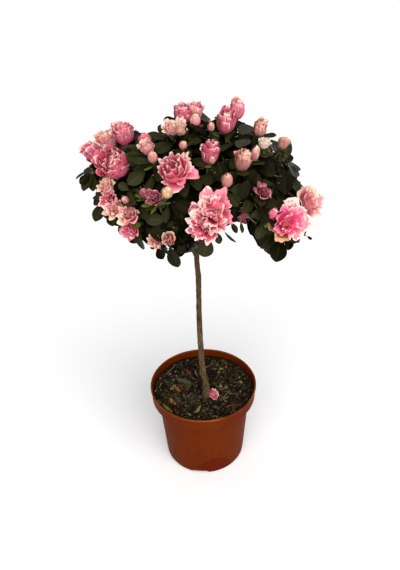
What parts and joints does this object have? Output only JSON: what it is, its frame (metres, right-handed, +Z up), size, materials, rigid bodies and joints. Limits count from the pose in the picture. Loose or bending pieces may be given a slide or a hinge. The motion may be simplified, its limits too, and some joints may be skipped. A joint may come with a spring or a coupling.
{
  "type": "azalea shrub",
  "caption": "Potted azalea grown as a little standard tree: a slender bare stem, a dome of dark leaves and pink blooms, and a round plastic nursery pot of soil.",
  "frame": {"origin": "centre of the pot's flat underside, on the surface that it stands on", "axes": "+Z up along the pot and the stem, -Y towards the front that the picture shows, +X to its right"},
  "size_m": [0.2704, 0.2634, 0.523],
  "materials": {
    "pot": "satin terracotta-brown moulded plastic",
    "soil": "dark crumbly peat",
    "bark": "rough grey-brown bark",
    "foliage": "dark leathery leaves with a soft sheen",
    "bloom": "soft pink petals with pale ruffled margins"
  },
  "bodies": {
    "root": {"pot": "pot", "soil": "soil", "fallen_bloom": "bloom", "trunk": "bark", "bough_upper_front": "bark", "bough_upper_right": "bark", "bough_upper_back": "bark", "bough_upper_left": "bark", "bough_lower_front": "bark", "bough_lower_right": "bark", "bough_lower_back_right": "bark", "bough_lower_back_left": "bark", "bough_lower_left": "bark", "foliage_top": "foliage", "foliage_upper_front": "foliage", "foliage_upper_right": "foliage", "foliage_upper_back": "foliage", "foliage_upper_left": "foliage", "foliage_lower_front": "foliage", "foliage_lower_right": "foliage", "foliage_lower_back_right": "foliage", "foliage_lower_back_left": "foliage", "foliage_lower_left": "foliage"}
  },
  "joints": []
}
